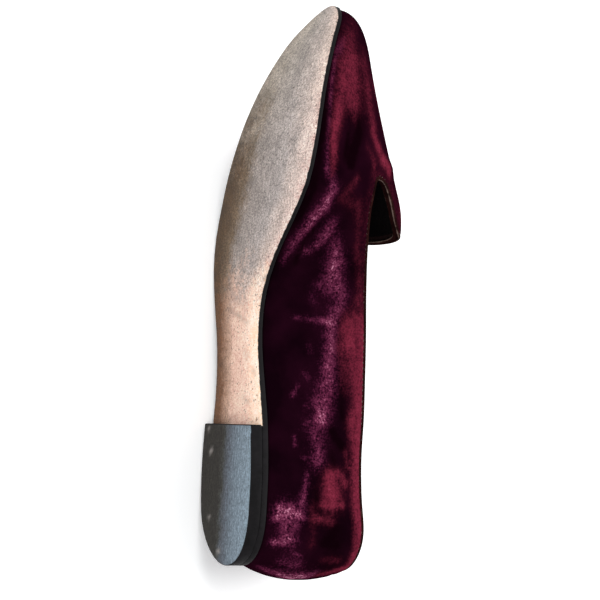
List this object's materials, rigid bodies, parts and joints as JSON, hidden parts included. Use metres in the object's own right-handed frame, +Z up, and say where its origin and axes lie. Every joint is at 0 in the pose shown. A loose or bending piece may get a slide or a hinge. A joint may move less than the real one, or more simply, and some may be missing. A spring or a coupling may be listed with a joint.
{
  "type": "smoking slipper",
  "caption": "Velvet smoking slipper, right shoe, with almond toe, notched tongue, bound collar, thin leather sole and low heel, lying on its outer side",
  "frame": {"origin": "middle of the bounding box on the floor, with the shoe lying on its outer side", "axes": "+X from heel to toe, +Y the way the tread faces, +Z up through the inner flank"},
  "size_m": [0.2626, 0.0806, 0.084],
  "materials": {
    "sole_leather": "matte",
    "heel_rubber": "matte",
    "sock_leather": "satin",
    "velvet": "matte",
    "binding_leather": "satin"
  },
  "bodies": {
    "root": {"outsole": "sole_leather", "heel": "heel_rubber", "insole": "sock_leather", "upper": "velvet", "collar_binding": "binding_leather"}
  },
  "joints": []
}
